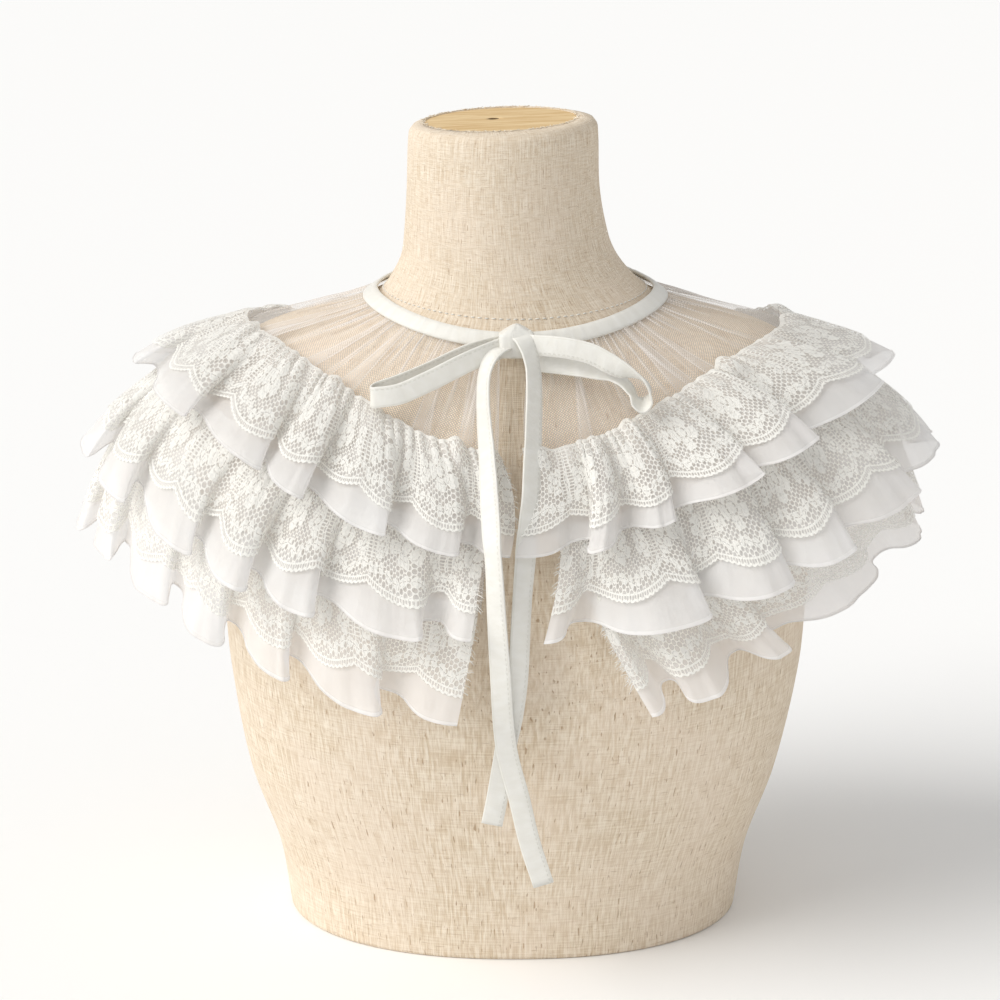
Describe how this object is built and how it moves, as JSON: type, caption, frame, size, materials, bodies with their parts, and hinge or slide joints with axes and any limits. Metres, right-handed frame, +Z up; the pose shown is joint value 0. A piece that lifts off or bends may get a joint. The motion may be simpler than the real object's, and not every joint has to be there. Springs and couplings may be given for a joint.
{
  "type": "tiered lace capelet collar on a dress form",
  "caption": "Short lace cape collar with ruffled tiers on a sheer net yoke, tied with a ribbon bow, on a limbless linen dress form with a wooden neck cap.",
  "frame": {"origin": "middle of the dress form's flat base", "axes": "+Z up along the form, -Y out of the collar's front opening, +X towards the viewer's right"},
  "size_m": [0.4496, 0.3221, 0.4264],
  "materials": {
    "linen": "matte slubbed linen",
    "wood": "bare pale wood",
    "net": "sheer fine net",
    "organza": "crisp sheer organza",
    "lace": "soft floral net lace",
    "satin": "soft satin sheen"
  },
  "bodies": {
    "root": {"form_torso": "linen", "form_neck_cap": "wood", "net_yoke": "net", "organza_tier_1": "organza", "organza_tier_2": "organza", "organza_tier_3": "organza", "lace_tier_1": "lace", "lace_tier_2": "lace", "lace_tier_3": "lace", "neck_binding": "satin", "bow_knot": "satin", "bow_loop_left": "satin", "bow_loop_right": "satin", "tie_tail_left": "satin", "tie_tail_right": "satin"}
  },
  "joints": []
}
